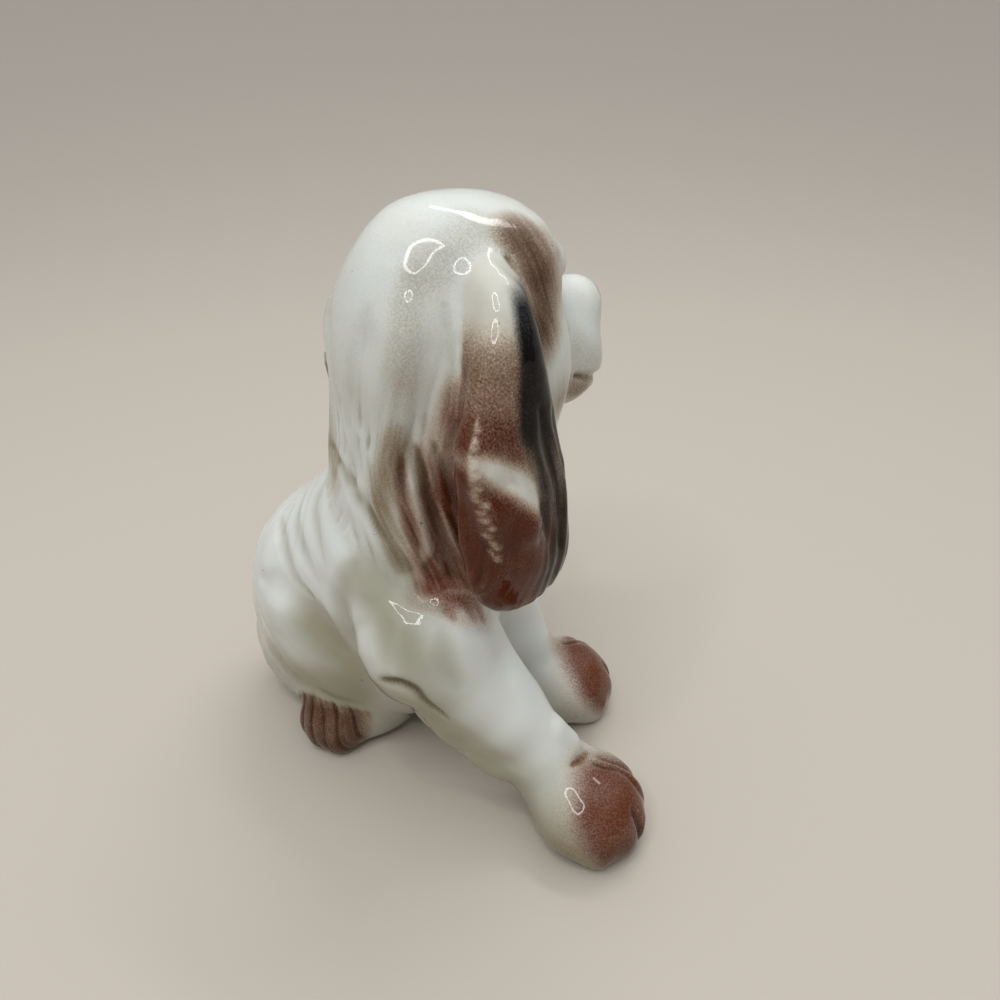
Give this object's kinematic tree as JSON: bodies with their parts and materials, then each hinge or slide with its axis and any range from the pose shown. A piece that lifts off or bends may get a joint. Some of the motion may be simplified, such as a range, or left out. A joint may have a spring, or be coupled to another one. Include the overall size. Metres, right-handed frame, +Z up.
{
  "type": "porcelain dog figurine",
  "caption": "Glazed porcelain spaniel puppy sitting on its haunches with its head turned to its left, long pendant ears, brown toes; stands on a flat seat and paws as a shelf ornament.",
  "frame": {"origin": "centre of the bounding box in plan, on the plane the seat and paws rest on", "axes": "+X the way the chest faces, +Y the puppy's left, +Z up"},
  "size_m": [0.0834, 0.0558, 0.0976],
  "materials": {
    "white_glaze": "clear glossy glaze over white porcelain, airbrushed brown on the toes, ruff and eye patches",
    "brown_glaze": "clear glossy glaze over airbrushed reddish brown with a blue-black front edge"
  },
  "bodies": {
    "root": {"torso": "white_glaze", "head": "white_glaze", "right_ear": "brown_glaze", "left_ear": "brown_glaze", "right_front_leg": "white_glaze", "left_front_leg": "white_glaze", "right_hind_foot": "white_glaze", "left_hind_foot": "white_glaze", "tail": "white_glaze"}
  },
  "joints": []
}
